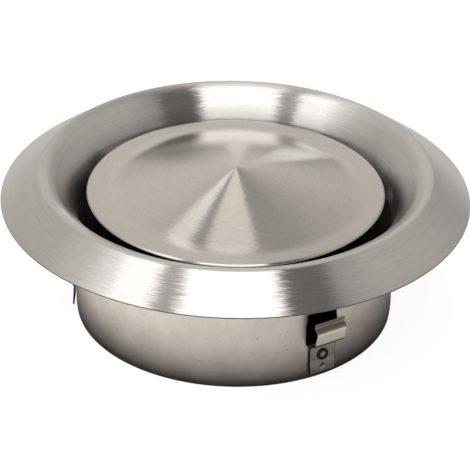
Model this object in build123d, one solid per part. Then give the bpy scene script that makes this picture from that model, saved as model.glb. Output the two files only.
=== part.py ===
"""Round exhaust valve for a 100 mm duct, spun and pressed from stainless sheet.

A bell-mouthed housing carries a flared flange and a straight neck. A bridge riveted across
the neck holds a nut, and the valve disc hangs on a spindle that screws through it: turning
the disc opens or closes the ring-shaped gap. Three sprung clips on the neck grip the duct.

Millimetres, +Z towards the room. The origin is on the axis, at the neck's bottom edge.
"""
from build123d import *
import os
from math import asin, cos, degrees, radians, sin, sqrt, tan

# Housing: one spun sheet from the neck's bottom edge, over the crest, to the flange rim. It is
# kept as three rings, neck, bell mouth and flange, so that the space between them stays open.
SHEET = 0.8
NECK_RADIUS = 47.7
NECK_CURL_HEIGHT = 3.0
NECK_CURL_RADIUS = 18.0
BELL_SLOPE = 48.0
BELL_BLEND_RADIUS = 18.0
BELL_ACROSS = 10.4
CREST_INSIDE_ROUND = 6.7
CREST_OUTSIDE_ROUND = 1.2
CREST_TOP = 45.5
FLANGE_ACROSS = 11.6
FLANGE_SLOPE = 35.7
RIM_EDGE = 0.4

# Valve disc: a shallow cone, a flatter band round it and a rolled edge
DISC_SHEET = 0.6
RING_ACROSS = 13.7
DISC_APEX = 46.6
DISC_TIP_RADIUS = 5.0
DISC_CONE_SLOPE = 11.4
DISC_BAND_ACROSS = 8.2
DISC_BLEND_RADIUS = 14.0
DISC_BAND_SLOPE = 1.0
DISC_EDGE_RADIUS = 0.65

# Spindle, and the boss, washer and nuts on it
SPINDLE_RADIUS = 3.0
SPINDLE_CHAMFER = 0.5
SPINDLE_TO_DISC = 0.6
BOSS_RADIUS = 9.0
BOSS_HEIGHT = 4.7
WASHER_RADIUS = 6.0
WASHER_THICKNESS = 1.2
NUT_ACROSS_FLATS = 10.0
NUT_CHAMFER = 0.5
LOCK_NUT_HEIGHT = 4.0
STOP_NUT_HEIGHT = 3.0
STOP_NUT_TO_END = 0.4
STOP_NUT_TRAVEL = 7.5
BRIDGE_NUT_HEIGHT = 5.0
RUNNING_GAP = 0.05

# Bridge: a strip across the neck with both ends turned up against its wall, between the clips
BRIDGE_ANGLE = 90.0
BRIDGE_WIDTH = 14.0
BRIDGE_THICKNESS = 1.5
BRIDGE_BEND = 1.2
BRIDGE_EAR_HEIGHT = 6.7
EAR_TO_BELL = 0.2
BRIDGE_HOLE_GAP = 0.5

# Rivets
SHANK_RADIUS = 1.2
SHANK_GAP = 0.05
HEAD_ROUND = 0.3
EAR_HEAD_RADIUS = 2.0
EAR_HEAD_HEIGHT = 0.9
EAR_RIVET_ALONG = 3.8
EAR_RIVET_TO_TOP = 2.4
CLIP_HEAD_RADIUS = 1.85
CLIP_HEAD_HEIGHT = 0.5
CLIP_HEAD_DISH_RADIUS = 1.15
CLIP_HEAD_DISH_DEPTH = 0.25
TAIL_RADIUS = 1.7
TAIL_HEIGHT = 0.7

# Spring clips: bent strips outside the neck, each with its hump standing over a window.
# The angles are about +Z from +X. The bends are given as how far out from the foot, and height.
CLIP_COUNT = 3
CLIP_ANGLE = -57.3
CLIP_THICKNESS = 0.5
CLIP_WIDTH = 9.8
CLIP_FOOT_WIDTH = 8.9
CLIP_TOE = (0.5, 1.8)
CLIP_SEAT = (0.0, 6.0)
CLIP_FOOT_TOP = (0.0, 11.4)
CLIP_KNEE = (3.75, 13.3)
CLIP_CROWN = (4.9, 18.3)
CLIP_WAIST = (3.0, 19.2)
CLIP_LIP = (3.7, 20.8)
CLIP_BEND_RADII = (9.0, 0.9, 1.5, 1.0, 0.8)
CLIP_GAP = 0.05
CLIP_HOLE_GAP = 0.15
CLIP_RIVET_HEIGHT = 7.7
DIMPLE_HEIGHT = 3.6
DIMPLE_OUT = 0.28
DIMPLE_RADIUS = 1.0
DIMPLE_DEPTH = 0.25
WINDOW_SIDE_GAP = 0.7
WINDOW_FOOT_GAP = 0.5
WINDOW_SHOULDER = 19.8
WINDOW_CORNER = 1.5
WINDOW_TOP_SIDE_GAP = 0.2
WINDOW_LIP_GAP = 1.0
WINDOW_TOP_CORNER = 0.5

NECK_INSIDE = NECK_RADIUS - SHEET
CREST_RADIUS = NECK_RADIUS + BELL_ACROSS
CREST_INSIDE_CENTRE = CREST_TOP - CREST_INSIDE_ROUND
CREST_OUTSIDE_CENTRE = CREST_TOP - CREST_OUTSIDE_ROUND
FLANGE_RADIUS = CREST_RADIUS + FLANGE_ACROSS
BLEND_ACROSS = NECK_INSIDE + BELL_BLEND_RADIUS
BLEND_DROP = BELL_BLEND_RADIUS - CREST_INSIDE_ROUND + sin(radians(BELL_SLOPE)) * (CREST_RADIUS - BLEND_ACROSS)
NECK_TOP = CREST_INSIDE_CENTRE - BLEND_DROP / cos(radians(BELL_SLOPE))
DISC_RADIUS = CREST_RADIUS - RING_ACROSS
DISC_CONE_RADIUS = DISC_RADIUS - DISC_BAND_ACROSS
EAR_INSIDE = NECK_INSIDE - BRIDGE_THICKNESS
EAR_TOP = NECK_TOP - EAR_TO_BELL
BRIDGE_BOTTOM = EAR_TOP - BRIDGE_EAR_HEIGHT
BRIDGE_TOP = BRIDGE_BOTTOM + BRIDGE_THICKNESS
STOP_NUT_TOP = BRIDGE_BOTTOM - BRIDGE_NUT_HEIGHT - STOP_NUT_TRAVEL
STOP_NUT_BOTTOM = STOP_NUT_TOP - STOP_NUT_HEIGHT
SPINDLE_BOTTOM = STOP_NUT_BOTTOM - STOP_NUT_TO_END
EAR_RIVET_HEIGHT = EAR_TOP - EAR_RIVET_TO_TOP
CLIP_PLANE = NECK_RADIUS + CLIP_GAP + CLIP_THICKNESS / 2
DISC_TIP_CENTRE = DISC_APEX - DISC_TIP_RADIUS
BOSS_BOTTOM = DISC_APEX - DISC_SHEET - BOSS_HEIGHT
CLIP_ANGLES = [CLIP_ANGLE + 360 / CLIP_COUNT * number for number in range(CLIP_COUNT)]
EAR_RIVET_PLACES = [(angle, along) for angle in (0, 180) for along in (EAR_RIVET_ALONG, -EAR_RIVET_ALONG)]
EAR_RIVET_TURNS = [(BRIDGE_ANGLE + angle, along) for angle, along in EAR_RIVET_PLACES]
MARGIN = 3.0


def arc(centre, radius, start, end):
    """Arc about centre from the start to the end direction, in degrees."""
    directions = [radians(angle) for angle in (start, (start + end) / 2, end)]
    return ThreePointArc(*[(centre[0] + radius * cos(d), centre[1] + radius * sin(d)) for d in directions])


def joined(pieces):
    """The pieces with a straight line from the end of each to the start of the next."""
    path = [pieces[0]]
    for piece in pieces[1:]:
        path += [Line(path[-1] @ 1, piece @ 0), piece]
    return path


def turned(outline):
    """Solid turned about the axis from a closed outline of (radius, height) edges."""
    return revolve(Plane.XZ * make_face(outline), Axis.Z)


def at_angle(angle, solid):
    """The solid swung about the axis from its place on +X."""
    return Rot(0, 0, angle) * solid


def along_x(start, end, radius, height, along=0.0):
    """Round bar that lies along X from start to end."""
    bar = Cylinder(radius, end - start, rotation=(0, 90, 0))
    return Pos((start + end) / 2, along, height) * bar


def neck_face(depth):
    """Section of the neck's surface that lies depth behind its inside: bottom curl and straight."""
    curl_radius = NECK_CURL_RADIUS - SHEET + depth
    curl_start = -degrees(asin(NECK_CURL_HEIGHT / curl_radius))
    curl = arc((NECK_RADIUS - NECK_CURL_RADIUS, NECK_CURL_HEIGHT), curl_radius, curl_start, 0)
    return [curl, Line(curl @ 1, (NECK_INSIDE + depth, NECK_TOP))]


def bell_face(depth):
    """Section of the bell mouth's surface that lies depth behind its room side.

    Blend, cone and the crest's inner half.
    """
    bell_normal = 90 + BELL_SLOPE
    return joined([
        arc((BLEND_ACROSS, NECK_TOP), BELL_BLEND_RADIUS - depth, 180, bell_normal),
        arc((CREST_RADIUS, CREST_INSIDE_CENTRE), CREST_INSIDE_ROUND - depth, bell_normal, 90),
    ])


def flange_face(depth):
    """Section of the flange's surface that lies depth behind its room side.

    The crest's outer half and the flange cone.
    """
    flange_normal = 90 - FLANGE_SLOPE
    centre = (CREST_RADIUS, CREST_OUTSIDE_CENTRE)
    crest = arc(centre, CREST_OUTSIDE_ROUND - depth, 90, flange_normal)
    front = arc(centre, CREST_OUTSIDE_ROUND, 90, flange_normal) @ 1
    rim_height = front.Y - (FLANGE_RADIUS - front.X) * tan(radians(FLANGE_SLOPE))
    if depth:
        end_height = rim_height - RIM_EDGE
        end = ((crest @ 1).X + ((crest @ 1).Y - end_height) / tan(radians(FLANGE_SLOPE)), end_height)
    else:
        end = (FLANGE_RADIUS, rim_height)
    return [crest, Line(crest @ 1, end)]


def clip_window():
    """Cutter for the opening behind one clip's hump, narrower above its shoulders."""
    bottom = CLIP_FOOT_TOP[1] - WINDOW_FOOT_GAP
    top = CLIP_LIP[1] + CLIP_THICKNESS / 2 + WINDOW_LIP_GAP
    wide, narrow = CLIP_WIDTH + 2 * WINDOW_SIDE_GAP, CLIP_WIDTH + 2 * WINDOW_TOP_SIDE_GAP
    plane = Plane(origin=(NECK_INSIDE - MARGIN, 0, 0), x_dir=(0, 1, 0), z_dir=(1, 0, 0))
    lower = Pos(0, (bottom + WINDOW_SHOULDER) / 2) * RectangleRounded(wide, WINDOW_SHOULDER - bottom, WINDOW_CORNER)
    upper = Pos(0, (bottom + top) / 2) * RectangleRounded(narrow, top - bottom, WINDOW_TOP_CORNER)
    return extrude(plane * (lower + upper), SHEET + 2 * MARGIN)


def ring_of(front, back):
    """Sheet ring turned from its two faces, with its ends closed."""
    return turned(front + [Line(front[-1] @ 1, back[-1] @ 1)] + back + [Line(back[0] @ 0, front[0] @ 0)])


def neck():
    shell = ring_of(neck_face(0), neck_face(SHEET))
    hole_start, hole_end = NECK_INSIDE - MARGIN, NECK_RADIUS + MARGIN
    hole_radius = SHANK_RADIUS + SHANK_GAP
    for angle in CLIP_ANGLES:
        shell -= at_angle(angle, clip_window())
        shell -= at_angle(angle, along_x(hole_start, hole_end, hole_radius, CLIP_RIVET_HEIGHT))
    for angle, along in EAR_RIVET_TURNS:
        shell -= at_angle(angle, along_x(hole_start, hole_end, hole_radius, EAR_RIVET_HEIGHT, along))
    return shell


def bell_mouth():
    return ring_of(bell_face(0), bell_face(SHEET))


def flange():
    front, back = flange_face(0), flange_face(SHEET)
    rim = front[-1] @ 1
    edge = [Line(rim, (rim.X, rim.Y - RIM_EDGE)), Line((rim.X, rim.Y - RIM_EDGE), back[-1] @ 1)]
    return turned(front + edge + back + [Line(back[0] @ 0, front[0] @ 0)])


def disc_face(depth):
    """Section of the disc's surface that lies depth under its room side."""
    cone, band = radians(DISC_CONE_SLOPE), radians(DISC_BAND_SLOPE)
    tip = arc((0, DISC_TIP_CENTRE), DISC_TIP_RADIUS, 90, 90 - DISC_CONE_SLOPE) @ 1
    corner = Vector(DISC_CONE_RADIUS, tip.Y - (DISC_CONE_RADIUS - tip.X) * tan(cone))
    cone_normal, band_normal = Vector(sin(cone), cos(cone)), Vector(sin(band), cos(band))
    to_blend = (cone_normal + band_normal) * (DISC_BLEND_RADIUS / (1 + cone_normal.dot(band_normal)))
    blend = corner + to_blend
    edge_across = DISC_RADIUS - DISC_EDGE_RADIUS
    edge_height = (corner.dot(band_normal) - DISC_EDGE_RADIUS - edge_across * sin(band)) / cos(band)
    blend_radius = DISC_BLEND_RADIUS + depth
    return joined([
        arc((0, DISC_TIP_CENTRE), DISC_TIP_RADIUS - depth, 90, 90 - DISC_CONE_SLOPE),
        arc((blend.X, blend.Y), blend_radius, 270 - DISC_CONE_SLOPE, 270 - DISC_BAND_SLOPE),
        arc((edge_across, edge_height), DISC_EDGE_RADIUS - depth, 90 - DISC_BAND_SLOPE, 0),
    ])


def valve_disc():
    return ring_of(disc_face(0), disc_face(DISC_SHEET))


def under_disc(radius):
    """Height of the disc's underside where it is a cone."""
    slope = radians(DISC_CONE_SLOPE)
    inner = DISC_TIP_RADIUS - DISC_SHEET
    return DISC_TIP_CENTRE + inner * cos(slope) - (radius - inner * sin(slope)) * tan(slope)


def disc_boss():
    """Round boss whose top follows the cone under the disc."""
    bore = SPINDLE_RADIUS + RUNNING_GAP
    corners = [
        (bore, BOSS_BOTTOM),
        (BOSS_RADIUS, BOSS_BOTTOM),
        (BOSS_RADIUS, under_disc(BOSS_RADIUS)),
        (bore, under_disc(bore)),
    ]
    return turned(Polyline(*corners, close=True).edges())


def round_bar(radius, bottom, top, bevel):
    bar = Pos(0, 0, (bottom + top) / 2) * Cylinder(radius, top - bottom)
    return chamfer(bar.edges().filter_by(GeomType.CIRCLE), bevel)


def spindle():
    top = under_disc(SPINDLE_RADIUS) - SPINDLE_TO_DISC
    return round_bar(SPINDLE_RADIUS, SPINDLE_BOTTOM, top, SPINDLE_CHAMFER)


def thrust_washer():
    top = BOSS_BOTTOM - RUNNING_GAP
    ring = Cylinder(WASHER_RADIUS, WASHER_THICKNESS) - Cylinder(SPINDLE_RADIUS + RUNNING_GAP, WASHER_THICKNESS)
    return Pos(0, 0, top - WASHER_THICKNESS / 2) * ring


def hex_nut(bottom, height):
    corner_radius = NUT_ACROSS_FLATS / sqrt(3)
    hexagon = extrude(Pos(0, 0, bottom) * RegularPolygon(corner_radius, 6), height)
    nut = hexagon & round_bar(corner_radius, bottom, bottom + height, NUT_CHAMFER)
    return nut - Pos(0, 0, bottom + height / 2) * Cylinder(SPINDLE_RADIUS + RUNNING_GAP, height)


def bridge():
    """Strip with turned-up ears, its ear backs rounded to fit the neck."""
    def trough(reach, bottom, bend):
        block = Pos(0, 0, (bottom + EAR_TOP) / 2) * Box(2 * reach, BRIDGE_WIDTH, EAR_TOP - bottom)
        return fillet(block.edges().filter_by(Axis.Y).group_by(Axis.Z)[0], bend)
    height = EAR_TOP - BRIDGE_BOTTOM
    strip = trough(NECK_RADIUS, BRIDGE_BOTTOM, BRIDGE_BEND + BRIDGE_THICKNESS)
    strip -= trough(EAR_INSIDE, BRIDGE_TOP, BRIDGE_BEND)
    strip &= Pos(0, 0, BRIDGE_BOTTOM + height / 2) * Cylinder(NECK_INSIDE, height)
    strip -= Pos(0, 0, BRIDGE_BOTTOM) * Cylinder(SPINDLE_RADIUS + BRIDGE_HOLE_GAP, 4 * BRIDGE_THICKNESS)
    for angle, along in EAR_RIVET_PLACES:
        hole = along_x(EAR_INSIDE - MARGIN, NECK_RADIUS, SHANK_RADIUS + SHANK_GAP, EAR_RIVET_HEIGHT, along)
        strip -= at_angle(angle, hole)
    return strip


def neck_bore(radius):
    """Round bar on the axis, as tall as the neck."""
    return Pos(0, 0, CREST_TOP / 2) * Cylinder(radius, CREST_TOP)


def ear_rivet(along):
    """Rivet through the neck and an ear, its head fitted to the neck's outside."""
    head_top = NECK_RADIUS + EAR_HEAD_HEIGHT
    head = along_x(NECK_INSIDE, head_top, EAR_HEAD_RADIUS, EAR_RIVET_HEIGHT, along)
    head = fillet(head.edges().group_by(Axis.X)[-1], HEAD_ROUND) - neck_bore(NECK_RADIUS)
    shank = along_x(EAR_INSIDE - TAIL_HEIGHT / 2, NECK_RADIUS, SHANK_RADIUS, EAR_RIVET_HEIGHT, along)
    tail = along_x(EAR_INSIDE - TAIL_HEIGHT, EAR_INSIDE, TAIL_RADIUS, EAR_RIVET_HEIGHT, along)
    return head + shank + fillet(tail.edges().group_by(Axis.X)[0], HEAD_ROUND)


def clip_rivet():
    """Rivet with a dished head on the clip's foot and its tail fitted to the neck's inside."""
    seat = CLIP_PLANE + CLIP_THICKNESS / 2 + CLIP_GAP
    top = seat + CLIP_HEAD_HEIGHT
    head = along_x(seat, top, CLIP_HEAD_RADIUS, CLIP_RIVET_HEIGHT)
    head = fillet(head.edges().group_by(Axis.X)[-1], HEAD_ROUND)
    head -= along_x(top - CLIP_HEAD_DISH_DEPTH, top + MARGIN, CLIP_HEAD_DISH_RADIUS, CLIP_RIVET_HEIGHT)
    shank = along_x(NECK_INSIDE - TAIL_HEIGHT / 2, seat, SHANK_RADIUS, CLIP_RIVET_HEIGHT)
    tail = along_x(NECK_INSIDE - TAIL_HEIGHT, NECK_RADIUS, TAIL_RADIUS, CLIP_RIVET_HEIGHT)
    return head + shank + (tail & neck_bore(NECK_INSIDE))


def spring_clip():
    """Bent strip: toe, narrower foot, slanted knee, leaning face, crown, waist and turned-out lip."""
    bends = [CLIP_TOE, CLIP_SEAT, CLIP_FOOT_TOP, CLIP_KNEE, CLIP_CROWN, CLIP_WAIST, CLIP_LIP]
    line = FilletPolyline(*[(CLIP_PLANE + out, height) for out, height in bends], radius=list(CLIP_BEND_RADII))
    section = Plane.XZ * make_face(offset(line, CLIP_THICKNESS / 2, side=Side.BOTH).edges())
    strip = extrude(section, CLIP_WIDTH / 2, both=True)
    for side in (-1, 1):
        notch = Box(2 * MARGIN, MARGIN, 2 * CLIP_FOOT_TOP[1])
        strip -= Pos(CLIP_PLANE, side * (CLIP_FOOT_WIDTH + MARGIN) / 2, 0) * notch
    strip -= along_x(NECK_RADIUS - MARGIN, CLIP_PLANE + MARGIN, SHANK_RADIUS + CLIP_HOLE_GAP, CLIP_RIVET_HEIGHT)
    ball = (DIMPLE_RADIUS ** 2 + DIMPLE_DEPTH ** 2) / (2 * DIMPLE_DEPTH)
    ball_centre = CLIP_PLANE + DIMPLE_OUT + CLIP_THICKNESS / 2 + ball - DIMPLE_DEPTH
    return strip - Pos(ball_centre, 0, DIMPLE_HEIGHT) * Sphere(ball)


def assembly():
    """Every piece by its node name."""
    lock_nut_bottom = BOSS_BOTTOM - 2 * RUNNING_GAP - WASHER_THICKNESS - LOCK_NUT_HEIGHT
    pieces = {
        "neck": neck(),
        "bell_mouth": bell_mouth(),
        "flange": flange(),
        "valve_disc": valve_disc(),
        "disc_boss": disc_boss(),
        "spindle": spindle(),
        "thrust_washer": thrust_washer(),
        "lock_nut": hex_nut(lock_nut_bottom, LOCK_NUT_HEIGHT),
        "stop_nut": hex_nut(STOP_NUT_BOTTOM, STOP_NUT_HEIGHT),
        "bridge": at_angle(BRIDGE_ANGLE, bridge()),
        "bridge_nut": hex_nut(BRIDGE_BOTTOM - BRIDGE_NUT_HEIGHT, BRIDGE_NUT_HEIGHT),
    }
    for number, (angle, along) in enumerate(EAR_RIVET_TURNS, start=1):
        pieces[f"ear_rivet_{number}"] = at_angle(angle, ear_rivet(along))
    for number, angle in enumerate(CLIP_ANGLES, start=1):
        pieces[f"spring_clip_{number}"] = at_angle(angle, spring_clip())
        pieces[f"clip_rivet_{number}"] = at_angle(angle, clip_rivet())
    return pieces


os.makedirs("parts", exist_ok=True)
for name, piece in assembly().items():
    export_step(piece, f"parts/{name}.step")
    print(f"{name}: {piece.volume:.1f} mm3")
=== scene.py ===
from math import atan2, ceil, cos, degrees, hypot, radians, sin, tan

import bmesh
import bpy
import numpy as np
from mathutils import Matrix, Vector


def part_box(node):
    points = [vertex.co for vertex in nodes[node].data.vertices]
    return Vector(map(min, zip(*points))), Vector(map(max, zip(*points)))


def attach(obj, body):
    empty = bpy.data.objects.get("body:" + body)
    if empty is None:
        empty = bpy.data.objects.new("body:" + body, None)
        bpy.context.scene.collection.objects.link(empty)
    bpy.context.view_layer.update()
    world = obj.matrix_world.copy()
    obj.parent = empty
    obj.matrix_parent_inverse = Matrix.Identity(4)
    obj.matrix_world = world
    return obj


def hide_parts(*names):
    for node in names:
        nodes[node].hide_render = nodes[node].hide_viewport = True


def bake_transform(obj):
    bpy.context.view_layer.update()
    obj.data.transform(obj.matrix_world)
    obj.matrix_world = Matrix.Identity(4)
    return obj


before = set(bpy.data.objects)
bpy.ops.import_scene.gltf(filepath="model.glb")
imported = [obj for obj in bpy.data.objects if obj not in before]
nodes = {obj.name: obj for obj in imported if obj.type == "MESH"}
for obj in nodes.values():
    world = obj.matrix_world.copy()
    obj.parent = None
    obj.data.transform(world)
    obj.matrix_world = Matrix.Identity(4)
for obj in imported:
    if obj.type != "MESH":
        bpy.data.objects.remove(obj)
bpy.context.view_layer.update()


mm = 0.001
print("frame loaded:", len(nodes), "nodes")

# Camera: a long lens, 30 degrees above the floor, turned a little about its own axis
view = {
    "elevation": 30.22,
    "distance": 0.784,
    "roll": 1.15,
    "lens": 200.03,
    "sensor": 36.0,
    "aim": (0.00006, 0.0, 0.0232),
    "reach": (0.01, 50.0),
}


def makeCamera(values):
    data = bpy.data.cameras.new("camera")
    data.lens, data.sensor_width = values["lens"], values["sensor"]
    data.clip_start, data.clip_end = values["reach"]
    camera = bpy.data.objects.new("camera", data)
    bpy.context.scene.collection.objects.link(camera)
    tilt = radians(values["elevation"])
    away = Vector((0.0, -cos(tilt), sin(tilt))) * values["distance"]
    roll = Matrix.Rotation(radians(values["roll"]), 4, "Z")
    turn = Matrix.Rotation(radians(90.0) - tilt, 4, "X") @ roll
    camera.matrix_world = Matrix.Translation(Vector(values["aim"]) + away) @ turn
    bpy.context.scene.camera = camera


makeCamera(view)

# Mesh code. Points closer together than this, in metres, are made one
mergeWithin = 2e-7


def gridFaces(rows, columns, closeRows=False, closeColumns=False):
    # cell (i, j) joins points (i, j), (i, j+1), (i+1, j+1), (i+1, j), counted row by row
    i = np.arange(rows if closeRows else rows - 1)[:, None]
    j = np.arange(columns if closeColumns else columns - 1)[None, :]
    row, nextRow = i * columns, (i + 1) % rows * columns
    nextColumn = (j + 1) % columns
    corners = (row + j, row + nextColumn, nextRow + nextColumn, nextRow + j)
    return np.stack(corners, axis=-1).reshape(-1, 4)


def tubeFaces(rows, columns):
    # every row is a closed ring, and the first and the last ring are filled
    faces = gridFaces(rows, columns, closeColumns=True).tolist()
    return faces + [list(range(columns)), list(range((rows - 1) * columns, rows * columns))]


def makePiece(name, points, faces, sharp=35.0):
    # points are in millimetres; doubles are merged, so poles close, and the normals point outwards
    mesh = bpy.data.meshes.new(name)
    places = (np.asarray(points).reshape(-1, 3) * mm).tolist()
    mesh.from_pydata(places, [], [list(face) for face in faces])
    cleaned = bmesh.new()
    cleaned.from_mesh(mesh)
    bmesh.ops.remove_doubles(cleaned, verts=cleaned.verts, dist=mergeWithin)
    bmesh.ops.recalc_face_normals(cleaned, faces=cleaned.faces)
    cleaned.to_mesh(mesh)
    cleaned.free()
    piece = bpy.data.objects.new(name, mesh)
    bpy.context.scene.collection.objects.link(piece)
    smoothPiece(piece, sharp)
    return piece


def smoothPiece(piece, sharp):
    piece.data.shade_smooth()
    piece.data.set_sharp_from_angle(angle=radians(sharp))


def triples(items, name):
    # one row of three numbers for each item, such as a face's centre or a point's place
    flat = np.empty(len(items) * 3)
    items.foreach_get(name, flat)
    return flat.reshape(-1, 3)


def arcPoints(centre, radius, start, end, step=3.0):
    # points at centre + radius (cos a, sin a), with the angle a going evenly from start to end
    count = max(2, int(ceil(abs(end - start) / step)) + 1)
    angle = np.radians(np.linspace(start, end, count))
    return np.stack([centre[0] + radius * np.cos(angle), centre[1] + radius * np.sin(angle)], axis=1)


def finer(path, step, tooNear=0.3):
    # the same path with extra points at even steps along it, save those that would fall within
    # tooNear of a step from a point that is there already
    length = np.concatenate([[0.0], np.cumsum(np.hypot(*np.diff(path, axis=0).T))])
    even = np.linspace(0.0, length[-1], int(ceil(length[-1] / step)) + 1)
    near = np.min(np.abs(even[:, None] - length[None, :]), axis=1) < tooNear * step
    marks = np.sort(np.concatenate([length, even[~near]]))
    return np.stack([np.interp(marks, length, path[:, axis]) for axis in (0, 1)], axis=1)


def turned(outline, around):
    # outline point (r, h) becomes (r cos a, r sin a, h), with the angle a going once round
    angle = np.linspace(0.0, 2.0 * np.pi, around, endpoint=False)[:, None]
    radius, height = outline[:, 0][None, :], outline[:, 1][None, :]
    return np.stack([np.cos(angle) * radius, np.sin(angle) * radius, height + 0.0 * angle], axis=-1)


def swung(points, angle):
    # points turned about the upright axis
    turn = radians(angle)
    x, y, z = points[..., 0], points[..., 1], points[..., 2]
    return np.stack([x * cos(turn) - y * sin(turn), x * sin(turn) + y * cos(turn), z], axis=-1)


def softCorner(before, corner, after, size, blunt=0.28):
    # three points that take the sharp tip off a corner
    back, on = before - corner, after - corner
    back, on = back / hypot(*back), on / hypot(*on)
    return np.array([corner + back * size, corner + (back + on) * size * blunt, corner + on * size])


def roundedPath(corners, radii, step=6.0):
    # straight runs between the corners, with an arc of the given radius at each inner corner
    corners = [np.array(corner) for corner in corners]
    path = [corners[0][None, :]]
    for before, corner, after, radius in zip(corners, corners[1:], corners[2:], radii):
        back, on = before - corner, after - corner
        back, on = back / hypot(*back), on / hypot(*on)
        half = np.arccos(np.clip(back @ on, -1.0, 1.0)) / 2
        middle = (back + on) / hypot(*(back + on))
        centre = corner + middle * radius / sin(half)
        first, last = corner + back * radius / tan(half), corner + on * radius / tan(half)
        start = degrees(atan2(*(first - centre)[::-1]))
        sweep = (degrees(atan2(*(last - centre)[::-1])) - start + 180.0) % 360.0 - 180.0
        path.append(arcPoints(centre, radius, start, start + sweep, step))
    return np.concatenate(path + [corners[-1][None, :]])


def prism(outline, low, high, angle):
    # outline point (along, height) stands at x = low and again at x = high, then is swung to its angle
    ends = [np.column_stack([np.full(len(outline), x), outline]) for x in (low, high)]
    return makePiece("cutter", swung(np.stack(ends), angle), tubeFaces(2, len(outline)))


def cutAway(piece, cutters, sharp=35.0):
    for cutter in cutters:
        hole = piece.modifiers.new("hole", "BOOLEAN")
        hole.operation, hole.solver, hole.object = "DIFFERENCE", "EXACT", cutter
    made = piece.evaluated_get(bpy.context.evaluated_depsgraph_get())
    changed = bpy.data.meshes.new_from_object(made)
    piece.modifiers.clear()
    old, piece.data = piece.data, changed
    changed.name = piece.name
    bpy.data.meshes.remove(old)
    for cutter in cutters:
        bpy.data.objects.remove(cutter)
    smoothPiece(piece, sharp)


# Housing: one spun sheet, from the neck's bottom edge over the crest to the flange rim
housing = {
    "sheet": 0.8,
    "neckRadius": 47.7,
    "curlHeight": 3.0,
    "curlRadius": 18.0,
    "bellSlope": 48.0,
    "bellBlend": 18.0,
    "crestRadius": 58.1,
    "crestInside": 6.7,
    "crestOutside": 1.2,
    "crestTop": 45.5,
    "flangeRadius": 69.7,
    "flangeSlope": 35.7,
    "rimEdge": 0.4,
    "edgeRound": 0.12,
    "step": 1.2,
    "around": 288,
    # the neck's top, and how much of a brushed face's normal points up at least
    "brushedFrom": 29.46,
    "brushedUp": 0.05,
    # width of the rim's cut edge, and how much of its faces' normals points up at most
    "cutWidth": 0.45,
    "cutUp": 0.5,
}
window = {
    "wide": 10.8,
    "narrow": 10.1,
    "bottom": 10.9,
    "shoulder": 19.8,
    "top": 21.95,
    "corner": 1.5,
    "topCorner": 0.5,
    "cornerStep": 11.0,
    "topCornerStep": 22.0,
    "cutter": (44.0, 52.0),
}
clip = {
    "angles": (-57.3, 62.7, 182.7),
    "thickness": 0.5,
    "width": 9.8,
    "footWidth": 8.9,
    "footTop": 11.4,
    "widens": 0.3,
    # the strip's middle line as (distance from its plane, height), and the plane from the axis
    "bends": ((0.5, 1.8), (0.0, 6.0), (0.0, 11.4), (3.75, 13.3), (4.9, 18.3), (3.0, 19.2), (3.7, 20.8)),
    "bendRadii": (9.0, 0.9, 1.5, 1.0, 0.8),
    "plane": 48.0,
    "pathStep": 0.22,
    "edgeRound": 0.13,
    "edgeStep": 22.5,
    "across": 45,
    "sharp": 40.0,
    "holeRadius": 1.35,
    "holeHeight": 7.7,
    "holeStep": 11.25,
    "cutter": (46.0, 50.0),
    "dimpleHeight": 3.6,
    "dimpleRadius": 1.0,
    "dimpleDepth": 0.25,
    # heights between which the motion passes from the foot to the hump
    "flexes": (9.8, 12.8),
    # heights between which the painted shade in the folds and the painted highlight on the hump's face
    # begin and end, and how wide the painted shade is along the foot's edges and at the waist near the
    # top
    "paintedShade": (10.2, 11.0, 13.5, 13.9),
    "paintedHighlight": (13.6, 14.1, 17.4, 18.2),
    "edgeShadeWidth": 0.12,
    "waistShadeWidth": 0.45,
}


def housingPath(values, depth):
    # curl, neck, blend, bell cone, crest and flange cone, all depth behind the room side
    inside = values["neckRadius"] - values["sheet"]
    bell, flange = 90.0 + values["bellSlope"], 90.0 - values["flangeSlope"]
    fall = tan(radians(values["flangeSlope"]))
    curlRadius = values["curlRadius"] - values["sheet"] + depth
    curlCentre = (values["neckRadius"] - values["curlRadius"], values["curlHeight"])
    blendAcross = inside + values["bellBlend"]
    insideCentre = (values["crestRadius"], values["crestTop"] - values["crestInside"])
    outsideCentre = (values["crestRadius"], values["crestTop"] - values["crestOutside"])
    slope = radians(values["bellSlope"])
    drop = values["bellBlend"] - values["crestInside"]
    drop += sin(slope) * (values["crestRadius"] - blendAcross)
    blendCentre = (blendAcross, insideCentre[1] - drop / cos(slope))
    curlStart = -degrees(np.arcsin(values["curlHeight"] / curlRadius))
    front = arcPoints(outsideCentre, values["crestOutside"], 90.0, flange)[-1]
    rim = front[1] - (values["flangeRadius"] - front[0]) * fall
    crest = np.concatenate([
        arcPoints(insideCentre, values["crestInside"] - depth, bell, 90.0),
        arcPoints(outsideCentre, values["crestOutside"] - depth, 90.0, flange)[1:],
    ])
    rimHeight = rim - (values["rimEdge"] if depth else 0.0)
    rimAcross = crest[-1][0] + (crest[-1][1] - rimHeight) / fall
    return np.concatenate([
        arcPoints(curlCentre, curlRadius, curlStart, 0.0),
        arcPoints(blendCentre, values["bellBlend"] - depth, 180.0, bell),
        crest,
        [(rimAcross, rimHeight)],
    ])


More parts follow.
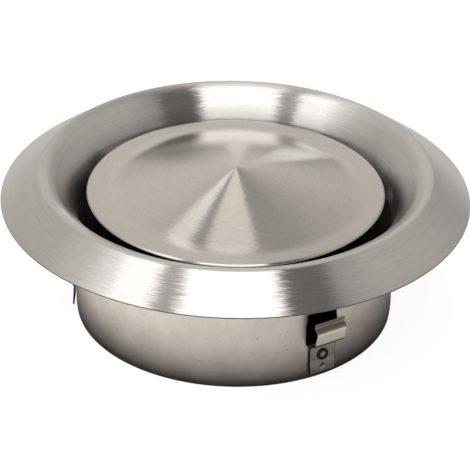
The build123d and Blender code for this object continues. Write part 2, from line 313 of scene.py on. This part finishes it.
def windowOutline(values):
    # right half: bottom corner, shoulder as far as the narrower top part, top corner; then its mirror
    wide, narrow = values["wide"] / 2, values["narrow"] / 2
    corner, small = values["corner"], values["topCorner"]
    middle = wide - corner
    meets = degrees(np.arccos((narrow - middle) / corner))
    right = np.concatenate([
        arcPoints((middle, values["bottom"] + corner), corner, 270.0, 360.0, values["cornerStep"]),
        arcPoints((middle, values["shoulder"] - corner), corner, 0.0, meets, values["cornerStep"]),
        arcPoints((narrow - small, values["top"] - small), small, 0.0, 90.0, values["topCornerStep"]),
    ])
    return np.concatenate([right, right[::-1] * (-1.0, 1.0)])


def finishHousing(piece, values):
    # the room side from the bell outwards is brushed, the neck's inner wall is rougher, with painted
    # shade in its colour, the rim's cut edge is painted dark as shade, and the neck's outside and the
    # back keep the mill finish
    middle, normal = triples(piece.data.polygons, "center"), triples(piece.data.polygons, "normal")
    above = middle[:, 2] > values["brushedFrom"] * mm
    roomSide = above & (normal[:, 2] > values["brushedUp"])
    inner = ~above & (middle[:, 0] * normal[:, 0] + middle[:, 1] * normal[:, 1] < 0.0)
    atRim = np.hypot(middle[:, 0], middle[:, 1]) > (values["flangeRadius"] - values["cutWidth"]) * mm
    cut = atRim & (normal[:, 2] < values["cutUp"])
    for finish in ("millSteel", "spunSteel", "cutEdgeShade", "innerSteelShaded"):
        piece.data.materials.append(finishes[finish])
    kinds = np.select([cut, inner, roomSide], [2, 3, 1], 0)
    piece.data.polygons.foreach_set("material_index", kinds.astype(np.int32))


def makeHousing(values):
    front, back = housingPath(values, 0.0), housingPath(values, values["sheet"])[::-1]
    rimLow = np.array([front[-1][0], front[-1][1] - values["rimEdge"]])
    size, around = values["edgeRound"], values["around"]
    outline = np.concatenate([
        finer(front[1:-1], values["step"]),
        softCorner(front[-2], front[-1], rimLow, size),
        softCorner(front[-1], rimLow, back[0], size),
        softCorner(rimLow, back[0], back[1], size),
        finer(back[1:-1], values["step"]),
        softCorner(back[-2], back[-1], front[0], size),
        softCorner(back[-1], front[0], front[1], size),
    ])
    faces = gridFaces(around, len(outline), True, True)
    piece = makePiece("housing", turned(outline, around), faces)
    finishHousing(piece, values)
    cutAway(piece, [prism(windowOutline(window), *window["cutter"], angle) for angle in clip["angles"]])
    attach(piece, "housing")
    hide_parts("neck", "bell_mouth", "flange")


# Valve disc: a cone that steepens a little outwards, a flatter band round it and a rolled edge
disc = {
    "sheet": 0.6,
    "radius": 44.4,
    "apex": 46.6,
    # distances from the axis, and how many degrees the surface falls there
    "slopeAt": (0.0, 1.0, 33.6, 39.6, 43.75),
    "slopes": (0.0, 8.9, 13.9, 1.0, 1.0),
    "slopeStep": 0.15,
    "pathStep": 1.5,
    "edgeRadius": 0.65,
    "edgeStep": 7.0,
    "lip": 0.06,
    "around": 288,
}


def discPath(values, depth):
    # the height is the apex less the sum of step times tan slope, and each point lies depth under
    # that surface, square to it; of these, only the points where the slope has changed by a tenth
    # of a degree are kept, and the rolled edge is an arc
    radius, last = values["edgeRadius"], values["slopes"][-1]
    edgeAcross = values["radius"] - radius
    across = np.linspace(0.0, edgeAcross, int(round(edgeAcross / values["slopeStep"])) + 1)
    slope = np.radians(np.interp(across, values["slopeAt"], values["slopes"]))
    falls = np.tan((slope[1:] + slope[:-1]) / 2) * np.diff(across)
    height = values["apex"] - np.concatenate([[0.0], np.cumsum(falls)])
    surface = np.stack([across - depth * np.sin(slope), height - depth * np.cos(slope)], axis=1)
    middle = (edgeAcross - radius * sin(radians(last)), height[-1] - radius * cos(radians(last)))
    edge = arcPoints(middle, radius - depth, 90.0 - last, 0.0, values["edgeStep"])
    keep = np.concatenate([[True], np.diff(np.round(np.degrees(slope), 1)) != 0.0])
    keep[-1] = False
    return np.concatenate([surface[keep], edge])


def makeDisc(values):
    top, under = discPath(values, 0.0), discPath(values, values["sheet"])[::-1]
    outline = np.concatenate([
        finer(top[:-1], values["pathStep"]),
        softCorner(top[-2], top[-1], under[0], values["lip"]),
        finer(under, values["pathStep"]),
    ])
    faces = gridFaces(values["around"], len(outline), True)
    piece = makePiece("valveDisc", turned(outline, values["around"]), faces)
    piece.data.materials.append(finishes["discSteel"])
    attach(piece, "disc")
    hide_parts("valve_disc")


# Spring clips: each is a strip bent to a foot, a hump and a lip, with a rivet hole and a dimple


def clipSection(values):
    # a flat bar with rounded edges, as wide as the strip is at its widest
    widest, half, soft = values["width"] / 2, values["thickness"] / 2, values["edgeRound"]
    side, face, step = widest - soft, half - soft, values["edgeStep"]
    flat = np.linspace(-side, side, values["across"])[1:-1]
    return np.concatenate([
        np.column_stack([flat, np.full_like(flat, half)]),
        arcPoints((side, face), soft, 90.0, 0.0, step),
        arcPoints((side, -face), soft, 0.0, -90.0, step),
        np.column_stack([flat[::-1], np.full_like(flat, -half)]),
        arcPoints((-side, -face), soft, 270.0, 180.0, step),
        arcPoints((-side, face), soft, 180.0, 90.0, step),
    ])


def paintClipLight(piece, values, angle):
    # two shares per point: painted shade in the folds, along the foot's edges and at the waist, and a
    # painted highlight on the hump's face
    out, along, height = swung(triples(piece.data.vertices, "co") / mm, -angle).T
    waist = values["bends"][5]
    fromWaist = np.hypot(out - values["plane"] - waist[0], height - waist[1])
    waistShade = np.exp(-(fromWaist / values["waistShadeWidth"]) ** 2)
    edgeShade = np.abs(along) > values["footWidth"] / 2 - values["edgeShadeWidth"]
    edgeShade &= height < values["footTop"]
    ramp = (0.0, 1.0, 1.0, 0.0)
    foldShade = np.interp(height, values["paintedShade"], ramp)
    shares = {
        "paintedShade": np.maximum(foldShade, np.maximum(waistShade, edgeShade)),
        "paintedHighlight": np.interp(height, values["paintedHighlight"], ramp),
    }
    for name, share in shares.items():
        marks = piece.data.attributes.new(name, "FLOAT", "POINT").data
        marks.foreach_set("value", share.astype(np.float32))


def makeClip(number, values):
    # the section is carried along the bent path; near each end it shrinks by the edge rounding,
    # so that the ends are rounded too, and a shallow cap is pressed into the foot
    turn = values["angles"][number - 1]
    path = finer(roundedPath(values["bends"], values["bendRadii"]), values["pathStep"])
    ahead = np.gradient(path, axis=0)
    ahead /= np.hypot(*ahead.T)[:, None]
    outward = np.stack([ahead[:, 1], -ahead[:, 0]], axis=1)
    widest, half, soft = values["width"] / 2, values["thickness"] / 2, values["edgeRound"]
    rise = np.clip((path[:, 1] - values["footTop"]) / values["widens"] + 1.0, 0.0, 1.0)
    across = values["footWidth"] / 2 + (widest - values["footWidth"] / 2) * rise
    section = clipSection(values)
    lean = np.radians(np.array([90.0, 60.0, 30.0, 0.0]))
    between = np.zeros(len(path) - 2)
    inset = soft * np.concatenate([1 - np.cos(lean), between, 1 - np.cos(lean[::-1])])[:, None]
    shift = soft * np.concatenate([1 - np.sin(lean), between, np.sin(lean[::-1]) - 1])[:, None]
    last = len(path) - 1
    index = np.concatenate([np.zeros(len(lean), int), np.arange(1, last), np.full(len(lean), last)])
    base, outward = path[index] + ahead[index] * shift, outward[index]
    reach = across[index][:, None]
    along = np.clip(section[:, 0] * (reach / widest), inset - reach, reach - inset)
    lift = np.clip(section[:, 1], inset - half, half - inset)
    x = base[:, :1] + outward[:, :1] * lift
    z = base[:, 1:] + outward[:, 1:] * lift
    distance = np.hypot(along, z - values["dimpleHeight"]) / values["dimpleRadius"]
    onFace = lift > half - soft
    x = x - np.where(onFace, values["dimpleDepth"] * np.clip(1 - distance ** 2, 0.0, 1.0), 0.0)
    points = swung(np.stack([values["plane"] + x, along, z], axis=-1), turn)
    faces = tubeFaces(len(index), len(section))
    piece = makePiece(f"springClip{number}", points, faces, values["sharp"])
    step = values["holeStep"]
    ring = arcPoints((0.0, values["holeHeight"]), values["holeRadius"], 0.0, 360.0 - step, step)
    cutAway(piece, [prism(ring, *values["cutter"], turn)], values["sharp"])
    paintClipLight(piece, values, turn)
    piece.data.materials.append(finishes["springSteel"])
    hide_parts(f"spring_clip_{number}")
    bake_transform(piece)


# Spindle: a rod as long as its solid, with a right-hand thread of 1 mm pitch
spindle = {
    "radius": 3.0,
    "pitch": 1.0,
    "threadDepth": 0.6,
    # the groove is a zigzag times flank less flat, held between nothing and the full depth
    "flank": 1.3,
    "flat": 0.12,
    "chamfer": 0.6,
    "perPitch": 12,
    "around": 48,
}


def makeSpindle(values):
    # radius = full radius less thread depth times a clipped zigzag of (height - pitch times turns)
    low, high = [corner[2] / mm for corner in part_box("spindle")]
    rows, columns = int((high - low) * values["perPitch"] / values["pitch"]) + 1, values["around"]
    height = np.linspace(low, high, rows)[:, None]
    angle = np.linspace(0.0, 2.0 * np.pi, columns, endpoint=False)[None, :]
    phase = (height - values["pitch"] * angle / (2.0 * np.pi)) / values["pitch"] % 1.0
    groove = np.clip(np.abs(phase * 2.0 - 1.0) * values["flank"] - values["flat"], 0.0, 1.0)
    radius = values["radius"] - values["threadDepth"] * groove
    toEnd = np.minimum(height - low, high - height)
    radius = np.minimum(radius, values["radius"] - values["chamfer"] + toEnd)
    points = np.stack([radius * np.cos(angle), radius * np.sin(angle), height + 0.0 * angle], axis=-1)
    piece = makePiece("spindle", points, tubeFaces(rows, columns))
    piece.data.materials.append(finishes["platedSteel"])
    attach(piece, "disc")
    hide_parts("spindle")


# Material code


def put(tree, kind, links=None, **settings):
    # a new node, with its settings, and with a link or a value for each input that is named
    item = tree.nodes.new(kind)
    for name, value in settings.items():
        setattr(item, name, value)
    for name, value in (links or {}).items():
        if isinstance(value, bpy.types.NodeSocket):
            tree.links.new(value, item.inputs[name])
        else:
            item.inputs[name].default_value = value
    return item


def sums(tree, operation, *values):
    return put(tree, "ShaderNodeMath", dict(enumerate(values)), operation=operation).outputs[0]


def vectorSums(tree, operation, *values, **named):
    links = {**dict(enumerate(values)), **named}
    item = put(tree, "ShaderNodeVectorMath", links, operation=operation)
    return item.outputs["Value" if operation == "LENGTH" else "Vector"]


def spread(tree, value, source, target=(0.0, 1.0), **settings):
    # the range from source's low to its high is carried to target's, and held at its ends
    names = ("Value", "From Min", "From Max", "To Min", "To Max")
    links = dict(zip(names, (value, *source, *target)))
    return put(tree, "ShaderNodeMapRange", links, **settings).outputs[0]


def mixed(tree, share, first, second):
    # the share of the second colour; a colour is a socket or three numbers
    ends = [end if isinstance(end, bpy.types.NodeSocket) else (*end, 1.0) for end in (first, second)]
    links = {0: share, 6: ends[0], 7: ends[1]}
    return put(tree, "ShaderNodeMix", links, data_type="RGBA").outputs[2]


def partsOf(tree, vector):
    # its three parts, and the vector with its height left out
    apart = put(tree, "ShaderNodeSeparateXYZ", {0: vector}).outputs
    level = put(tree, "ShaderNodeCombineXYZ", {"X": apart["X"], "Y": apart["Y"]}).outputs[0]
    return apart, level


def newGroup(name, inputs, outputs):
    group = bpy.data.node_groups.new(name, "ShaderNodeTree")
    for socket, value in inputs.items():
        made = group.interface.new_socket(socket, in_out="INPUT", socket_type="NodeSocketFloat")
        made.default_value = value
    for socket in outputs:
        group.interface.new_socket(socket, in_out="OUTPUT", socket_type="NodeSocketFloat")
    given, result = group.nodes.new("NodeGroupInput"), group.nodes.new("NodeGroupOutput")
    return group, given.outputs, result.inputs


# Brush marks: for each output, its share of the lines and breaks, and what sets its noise apart
brushMarks = {"Grain": (1.0, 0.0), "Bands": (0.12, 0.0), "Sway": (1.8, 31.0)}


def makeRingGrain(values):
    # brush marks that follow circles about the axis: noise over the radius, the height and the
    # direction from the axis
    inputs = {"Lines Per Metre": 3000.0, "Breaks": 3.0}
    group, given, result = newGroup("ringGrain", inputs, list(values))
    place = put(group, "ShaderNodeTexCoord").outputs["Object"]
    apart, level = partsOf(group, place)
    radius = vectorSums(group, "LENGTH", level)
    heading = vectorSums(group, "NORMALIZE", level)
    for output, (share, apartBy) in values.items():
        lines = sums(group, "MULTIPLY", given["Lines Per Metre"], share)
        breaks = sums(group, "MULTIPLY", given["Breaks"], share)
        turn = vectorSums(group, "SCALE", heading, Scale=breaks)
        across = sums(group, "MULTIPLY", radius, lines)
        outward = put(group, "ShaderNodeCombineXYZ", {"Z": across}).outputs[0]
        noise = put(group, "ShaderNodeTexNoise", {
            "Vector": vectorSums(group, "ADD", turn, outward),
            "W": sums(group, "MULTIPLY_ADD", apart["Z"], lines, apartBy), "Scale": 1.0, "Detail": 2.0,
        }, noise_dimensions="4D")
        group.links.new(noise.outputs["Fac"], result[output])
    return group


# Traces of handling: noise scales per metre, and where the rare marks begin and how fast they rise
handlingTraces = {
    "patchDetail": 4.0, "patchRoughness": 0.6,
    "markScale": 900.0, "markDetail": 1.0, "markFrom": 0.7, "markGain": 12.0, "markSoft": 0.1,
    "speckScale": 2400.0, "speckDetail": 2.0, "speckRoughness": 0.7,
}


def makeHandling(values):
    # soft uneven patches, small sparse marks and fine specks, as handling leaves on bare metal
    inputs = {"Patches Per Metre": 60.0, "Mark Amount": 0.3}
    group, given, result = newGroup("handling", inputs, ["Patches", "Marks", "Specks"])
    place = put(group, "ShaderNodeTexCoord").outputs["Object"]
    patches = put(group, "ShaderNodeTexNoise", {
        "Vector": place, "Scale": given["Patches Per Metre"],
        "Detail": values["patchDetail"], "Roughness": values["patchRoughness"],
    })
    marks = put(group, "ShaderNodeTexNoise", {
        "Vector": place, "Scale": values["markScale"], "Detail": values["markDetail"],
    })
    specks = put(group, "ShaderNodeTexNoise", {
        "Vector": place, "Scale": values["speckScale"],
        "Detail": values["speckDetail"], "Roughness": values["speckRoughness"],
    })
    over = sums(group, "SUBTRACT", marks.outputs["Fac"], values["markFrom"])
    steep = sums(group, "MULTIPLY", over, values["markGain"])
    rare = sums(group, "MAXIMUM", sums(group, "SMOOTH_MIN", 1.0, steep, values["markSoft"]), 0.0)
    group.links.new(patches.outputs["Fac"], result["Patches"])
    group.links.new(sums(group, "MULTIPLY", rare, given["Mark Amount"]), result["Marks"])
    group.links.new(specks.outputs["Fac"], result["Specks"])
    return group


groups = {"ringGrain": makeRingGrain(brushMarks), "handling": makeHandling(handlingTraces)}


def useGroup(tree, name, values):
    return put(tree, "ShaderNodeGroup", values, node_tree=groups[name]).outputs


# Brushed finishes. The tone, between dark and light, is a sum of shares of the marks; lines are per
# metre, and ring is the depth of the grooves in metres
brushed = {
    "spunSteel": {
        "light": (0.78, 0.753, 0.735), "dark": (0.54, 0.52, 0.505), "roughness": (0.16, 0.24),
        "specks": 0.5, "stretch": 1.0, "lines": 2400.0, "breaks": 9.0, "ring": 0.000016, "sway": 0.045,
    },
    "discSteel": {
        "light": (0.74, 0.71, 0.665), "dark": (0.55, 0.526, 0.49), "roughness": (0.10, 0.15),
        "specks": 0.8, "stretch": 0.8, "lines": 2800.0, "breaks": 12.0, "ring": 0.000010, "sway": 0.018,
    },
}
brushedTone = {"bands": 0.3, "patches": 0.2, "grain": 0.5, "patchesPerMetre": 45.0}
acrossGrooves = 0.25


def startFinish(name):
    material = bpy.data.materials.new(name)
    material.use_nodes = True
    shader = material.node_tree.nodes["Principled BSDF"]
    shader.inputs["Metallic"].default_value = 1.0
    return material, material.node_tree, shader.inputs


def addSpecks(tree, specks, share, tone):
    return sums(tree, "MULTIPLY_ADD", sums(tree, "SUBTRACT", specks, 0.5), share, tone)


def brushedFinish(name, values):
    material, tree, surface = startFinish(name)
    ring = useGroup(tree, "ringGrain", {"Lines Per Metre": values["lines"], "Breaks": values["breaks"]})
    hand = useGroup(tree, "handling", {"Patches Per Metre": brushedTone["patchesPerMetre"]})
    tone = sums(tree, "MULTIPLY", hand["Patches"], brushedTone["patches"])
    tone = sums(tree, "MULTIPLY_ADD", ring["Bands"], brushedTone["bands"], tone)
    tone = sums(tree, "MULTIPLY_ADD", ring["Grain"], brushedTone["grain"], tone)
    tone = addSpecks(tree, hand["Specks"], values["specks"], tone)
    bump = put(tree, "ShaderNodeBump", {
        "Height": ring["Grain"], "Distance": values["ring"], "Strength": 1.0,
    }).outputs[0]
    tangent = put(tree, "ShaderNodeTangent", direction_type="RADIAL", axis="Z").outputs[0]
    # each groove leans a little to one side or the other along the ring, which frays the fans' edges
    sway = spread(tree, ring["Sway"], (0.0, 1.0), (-values["sway"], values["sway"]))
    leaning = vectorSums(tree, "ADD", bump, vectorSums(tree, "SCALE", tangent, Scale=sway))
    tree.links.new(mixed(tree, tone, values["dark"], values["light"]), surface["Base Color"])
    tree.links.new(spread(tree, ring["Grain"], (0.0, 1.0), values["roughness"]), surface["Roughness"])
    tree.links.new(vectorSums(tree, "NORMALIZE", leaning), surface["Normal"])
    tree.links.new(tangent, surface["Tangent"])
    surface["Anisotropic"].default_value = values["stretch"]
    surface["Anisotropic Rotation"].default_value = acrossGrooves
    return material


# Plain finishes, with patches and marks in place of brush marks; bump is a depth in metres
plain = {
    "millSteel": {
        "light": (0.71, 0.652, 0.592), "dark": (0.47, 0.427, 0.385), "roughness": (0.30, 0.42),
        "marks": 1.6, "patches": 120.0, "bump": 0.00001,
    },
    # rougher than the mill finish, and its darker colour is painted shade inside the neck
    "innerSteelShaded": {
        "light": (0.40, 0.38, 0.36), "dark": (0.28, 0.26, 0.24), "roughness": (0.45, 0.60),
        "marks": 0.6, "patches": 120.0, "bump": 0.00001,
    },
    # near-black colour as painted shade on the rim's cut edge
    "cutEdgeShade": {
        "light": (0.20, 0.18, 0.17), "dark": (0.10, 0.09, 0.085), "roughness": (0.45, 0.60),
        "marks": 0.5, "patches": 300.0, "bump": 0.00001,
    },
    "springSteel": {
        "light": (0.52, 0.46, 0.44), "dark": (0.30, 0.26, 0.25), "roughness": (0.26, 0.38),
        "marks": 0.6, "patches": 500.0, "bump": 0.00001,
        # painted highlight colour for the hump's face, and painted shade colour for the folds, the
        # foot's edges and the waist
        "paintedHighlight": (0.93, 0.88, 0.76), "paintedShade": (0.035, 0.028, 0.026),
    },
    "platedSteel": {
        "light": (0.66, 0.66, 0.63), "dark": (0.52, 0.53, 0.52), "roughness": (0.22, 0.36),
        "marks": 0.4, "patches": 400.0, "bump": 0.000006,
    },
    "stripSteel": {
        "light": (0.58, 0.57, 0.55), "dark": (0.46, 0.45, 0.43), "roughness": (0.32, 0.46),
        "marks": 0.8, "patches": 200.0, "bump": 0.00001,
    },
    "rivetSteel": {
        "light": (0.55, 0.55, 0.54), "dark": (0.44, 0.44, 0.43), "roughness": (0.30, 0.42),
        "marks": 0.4, "patches": 500.0, "bump": 0.000008,
    },
    # the middle colour fills the head's dish, and ends between these distances from its axis
    "darkRivet": {
        "light": (0.05, 0.04, 0.038), "dark": (0.025, 0.02, 0.018), "roughness": (0.38, 0.55),
        "marks": 0.2, "patches": 700.0, "bump": 0.000015,
        "middle": (0.40, 0.36, 0.35), "inside": (0.7, 1.05),
    },
    "turnedSteel": {
        "light": (0.60, 0.60, 0.59), "dark": (0.50, 0.50, 0.49), "roughness": (0.24, 0.36),
        "marks": 0.3, "patches": 200.0, "bump": 0.000006,
    },
}
plainSpecks = 0.5


def makeRivetMiddle(tree, inside):
    # 1 in the middle of a clip rivet's head: the heading is folded onto one third of the ring, so
    # the distance from the rivet's axis is the length of (radius times folded heading, height)
    apart = partsOf(tree, put(tree, "ShaderNodeTexCoord").outputs["Object"])[0]
    heading = sums(tree, "ARCTAN2", apart["Y"], apart["X"])
    fromFirst = sums(tree, "SUBTRACT", heading, radians(clip["angles"][0]))
    folded = sums(tree, "WRAP", fromFirst, radians(-60.0), radians(60.0))
    across = sums(tree, "MULTIPLY", folded, clip["plane"] * mm)
    up = sums(tree, "SUBTRACT", apart["Z"], clip["holeHeight"] * mm)
    offset = put(tree, "ShaderNodeCombineXYZ", {"X": across, "Y": up}).outputs[0]
    away = vectorSums(tree, "LENGTH", offset)
    return spread(tree, away, (inside[0] * mm, inside[1] * mm), (1.0, 0.0))


def plainFinish(name, values):
    material, tree, surface = startFinish(name)
    hand = useGroup(tree, "handling", {
        "Patches Per Metre": values["patches"], "Mark Amount": values["marks"],
    })
    tone = sums(tree, "SUBTRACT", hand["Patches"], hand["Marks"])
    tone = addSpecks(tree, hand["Specks"], plainSpecks, tone)
    colour = mixed(tree, tone, values["dark"], values["light"])
    # the clips' painted highlight and painted shade, laid over the colour by the shares stored on their
    # points
    if "paintedHighlight" in values:
        for mark in ("paintedHighlight", "paintedShade"):
            share = put(tree, "ShaderNodeAttribute", attribute_name=mark).outputs["Fac"]
            colour = mixed(tree, share, colour, values[mark])
    if "middle" in values:
        colour = mixed(tree, makeRivetMiddle(tree, values["inside"]), colour, values["middle"])
    bump = put(tree, "ShaderNodeBump", {"Height": tone, "Distance": values["bump"], "Strength": 1.0})
    tree.links.new(colour, surface["Base Color"])
    tree.links.new(spread(tree, hand["Patches"], (0.0, 1.0), values["roughness"]), surface["Roughness"])
    tree.links.new(bump.outputs[0], surface["Normal"])
    return material


finishes = {name: brushedFinish(name, values) for name, values in brushed.items()}
finishes.update({name: plainFinish(name, values) for name, values in plain.items()})
print("materials made:", len(finishes))

makeHousing(housing)
makeDisc(disc)
for number in (1, 2, 3):
    makeClip(number, clip)
makeSpindle(spindle)
print("surfaces made")

cadFinish = {
    "disc_boss": "turnedSteel",
    "thrust_washer": "platedSteel",
    "lock_nut": "platedSteel",
    "stop_nut": "platedSteel",
    "bridge_nut": "platedSteel",
    "bridge": "stripSteel",
}
cadFinish.update({f"ear_rivet_{number}": "rivetSteel" for number in (1, 2, 3, 4)})
cadFinish.update({f"clip_rivet_{number}": "darkRivet" for number in (1, 2, 3)})
for name, finish in cadFinish.items():
    nodes[name].data.materials.clear()
    nodes[name].data.materials.append(finishes[finish])

# Studio: a white floor and a sky of soft lights. Brushed metal spreads each light into a fan across
# its grooves, so the sky is laid out by fans. A sky direction d and the direction to the viewer have
# a half direction h between them: the heading of h picks the fan, and its lean from straight up
# picks the surface, the disc's middle, its rim or the flange
light = {
    "viewer": (0.0, -0.864, 0.503),
    "warm": (1.0, 0.965, 0.915),
    "white": (1.0, 0.995, 0.985),
    "full": 4.0,
    # heading of h in degrees from the front towards +X, and brightness there
    "flangeFans": (
        (-180, 0.90), (-150, 0.86), (-130, 0.60), (-100, 0.56), (-90, 0.60), (-70, 0.60), (-55, 0.60),
        (-42, 0.80), (-33, 1.3), (-31.5, 1.65), (-21.3, 1.65), (-19.6, 0.55), (-14.6, 0.55),
        (-13.2, 1.8), (12, 1.8), (13.2, 0.18), (25, 0.19), (29, 0.45), (40, 0.58), (60, 0.56),
        (80, 0.46), (100, 0.42), (120, 0.46), (140, 0.74), (180, 0.90),
    ),
    "middleFans": (
        (-180, 0.80), (-174, 0.76), (-166, 0.84), (-140, 0.82), (-115, 0.74), (-90, 0.72), (-60, 0.72),
        (-40, 0.66), (-36, 1.15), (-25, 1.15), (-23, 0.38), (-16.5, 0.38), (-15, 0.98), (11, 0.98),
        (12.5, 0.40), (35, 0.42), (55, 0.52), (90, 0.66), (115, 0.74), (140, 0.68), (168, 0.80),
        (180, 0.80),
    ),
    "rimFans": (
        (-180, 0.98), (-173, 0.98), (-168, 0.15), (-140, 0.17), (-125, 0.26), (-110, 0.60),
        (-90, 0.74), (-60, 0.72), (-40, 0.60), (-36, 0.98), (-25, 0.98), (-23, 0.36), (-16.5, 0.36),
        (-15, 0.84), (11, 0.84), (12.5, 0.40), (35, 0.42), (55, 0.52), (90, 0.66), (108, 0.60),
        (121, 0.42), (125, 1.05), (143, 1.0), (147, 0.34), (167, 0.26), (172, 0.98), (180, 0.98),
    ),
    # lean of h in degrees: the light is even up to the first, passes to the fans of the disc's
    # middle up to the second, and likewise to its rim's and to the flange's
    "leans": {"middleFans": (0.0, 6.0), "rimFans": (11.3, 13.5), "flangeFans": (16.0, 24.0)},
    # brightness of the even light from the left and from the right
    "even": (0.74, 0.60),
    # leans between which the light falls to a share, so that it isn't glaring from behind
    "falls": (46.0, 58.0),
    "fallsTo": 0.60,
}


def fanRamp(tree, heading, stops, values):
    ramp = put(tree, "ShaderNodeValToRGB", {"Fac": spread(tree, heading, (-np.pi, np.pi))})
    elements = ramp.color_ramp.elements
    while len(elements) < len(stops):
        elements.new(0.5)
    for stop, (angle, level) in zip(elements, stops):
        stop.position = (angle + 180.0) / 360.0
        tint = values["white"] if level > 1.0 else values["warm"]
        stop.color = (*[level / values["full"] * part for part in tint], 1.0)
    return ramp.outputs[0]


def makeWorld(values):
    # with h = d + viewer: heading = atan2(h.x, -h.y), lean = atan2(length of (h.x, h.y), h.z)
    world = bpy.data.worlds.new("studio")
    bpy.context.scene.world = world
    world.use_nodes = True
    tree = world.node_tree
    tree.nodes.clear()
    full = values["full"]
    direction = put(tree, "ShaderNodeTexCoord").outputs["Generated"]
    across = put(tree, "ShaderNodeSeparateXYZ", {0: direction}).outputs["X"]
    apart, level = partsOf(tree, vectorSums(tree, "ADD", direction, values["viewer"]))
    heading = sums(tree, "ARCTAN2", apart["X"], sums(tree, "MULTIPLY", apart["Y"], -1.0))
    lean = sums(tree, "ARCTAN2", vectorSums(tree, "LENGTH", level), apart["Z"])
    even = spread(tree, across, (-1.0, 1.0), [side / full for side in values["even"]])
    colour = vectorSums(tree, "SCALE", values["warm"], Scale=even)
    for fans, (low, high) in values["leans"].items():
        share = spread(tree, lean, (radians(low), radians(high)))
        colour = mixed(tree, share, colour, fanRamp(tree, heading, values[fans], values))
    low, high = values["falls"]
    strength = spread(tree, lean, (radians(low), radians(high)), (full, full * values["fallsTo"]))
    sky = put(tree, "ShaderNodeBackground", {"Color": colour, "Strength": strength})
    white = put(tree, "ShaderNodeBackground", {"Color": (1.0, 1.0, 1.0, 1.0), "Strength": 1.0})
    seen = put(tree, "ShaderNodeLightPath").outputs["Is Camera Ray"]
    both = put(tree, "ShaderNodeMixShader", {0: seen, 1: sky.outputs[0], 2: white.outputs[0]})
    put(tree, "ShaderNodeOutputWorld", {"Surface": both.outputs[0]})


floorLook = {
    "half": 3000.0,
    # its colour and its own glow, for the camera and for mirror light
    "cameraColour": 0.25,
    "cameraGlow": 0.885,
    "colour": 0.85,
    "glossyGlow": 0.5,
    # distances from the axis, in metres: inside the neck the camera sees the floor dark, as painted
    # shade, in mirror light a painted contact shadow lifts from the neck's foot outwards, and far away
    # its glow fades to a share
    "neckEdge": (0.0470, 0.0474),
    "contactShadeEnds": (0.0445, 0.077),
    "fades": (0.10, 0.28),
    "farShare": 0.05,
    # places along X and Y, in metres, and the glow's shares there: it falls from left to right and
    # behind the valve, as painted shade in mirror light
    "sides": ((-0.060, 0.060), (1.42, 0.45)),
    "behind": ((0.020, 0.060), (1.0, 0.12)),
    # distances between which the floor behind the neck leaves its shadow
    "shadowed": (0.09, 0.15),
}


def makeFloor(values):
    half = values["half"]
    corners = [(-half, -half, 0.0), (half, -half, 0.0), (half, half, 0.0), (-half, half, 0.0)]
    floor = makePiece("floor", corners, [(0, 1, 2, 3)])
    material = bpy.data.materials.new("floor")
    material.use_nodes = True
    tree = material.node_tree
    tree.nodes.clear()
    ray = put(tree, "ShaderNodeLightPath").outputs
    place = put(tree, "ShaderNodeTexCoord").outputs["Object"]
    away = vectorSums(tree, "LENGTH", place)
    spot = put(tree, "ShaderNodeSeparateXYZ", {0: place}).outputs
    # painted shade: the floor inside the neck is dark to the camera, and in mirror light a painted
    # contact shadow rings the neck's foot
    outside = spread(tree, away, values["neckEdge"], interpolation_type="SMOOTHSTEP")
    bright = spread(tree, away, values["contactShadeEnds"], interpolation_type="SMOOTHSTEP")
    side = spread(tree, spot["X"], *values["sides"])
    behind = spread(tree, spot["Y"], *values["behind"])
    # the shadow behind the neck keeps the floor from shining through the windows into the neck
    lit = spread(tree, away, values["shadowed"], (behind, 1.0))
    shade = put(tree, "ShaderNodeMix", {
        0: ray["Is Camera Ray"],
        2: sums(tree, "MULTIPLY", bright, sums(tree, "MULTIPLY", lit, values["colour"])),
        3: sums(tree, "MULTIPLY", outside, values["cameraColour"]),
    }).outputs[0]
    grey = put(tree, "ShaderNodeCombineXYZ", {"X": shade, "Y": shade, "Z": shade}).outputs[0]
    body = put(tree, "ShaderNodeBsdfDiffuse", {"Color": grey})
    glow = values["glossyGlow"]
    far = spread(tree, away, values["fades"], (glow, glow * values["farShare"]))
    mirrored = sums(tree, "MAXIMUM", ray["Is Glossy Ray"], ray["Is Transmission Ray"])
    for share in (bright, side, behind, far):
        mirrored = sums(tree, "MULTIPLY", mirrored, share)
    straight = sums(tree, "MULTIPLY", ray["Is Camera Ray"], outside)
    straight = sums(tree, "MULTIPLY", straight, values["cameraGlow"])
    shine = put(tree, "ShaderNodeEmission", {"Strength": sums(tree, "ADD", straight, mirrored)})
    both = put(tree, "ShaderNodeAddShader", {0: body.outputs[0], 1: shine.outputs[0]})
    # from below, the floor isn't there
    under = put(tree, "ShaderNodeNewGeometry").outputs["Backfacing"]
    clear = put(tree, "ShaderNodeBsdfTransparent")
    oneSided = put(tree, "ShaderNodeMixShader", {0: under, 1: both.outputs[0], 2: clear.outputs[0]})
    put(tree, "ShaderNodeOutputMaterial", {"Surface": oneSided.outputs[0]})
    floor.data.materials.append(material)


makeWorld(light)
makeFloor(floorLook)
bpy.context.scene.view_settings.view_transform = "Standard"
print("studio made")
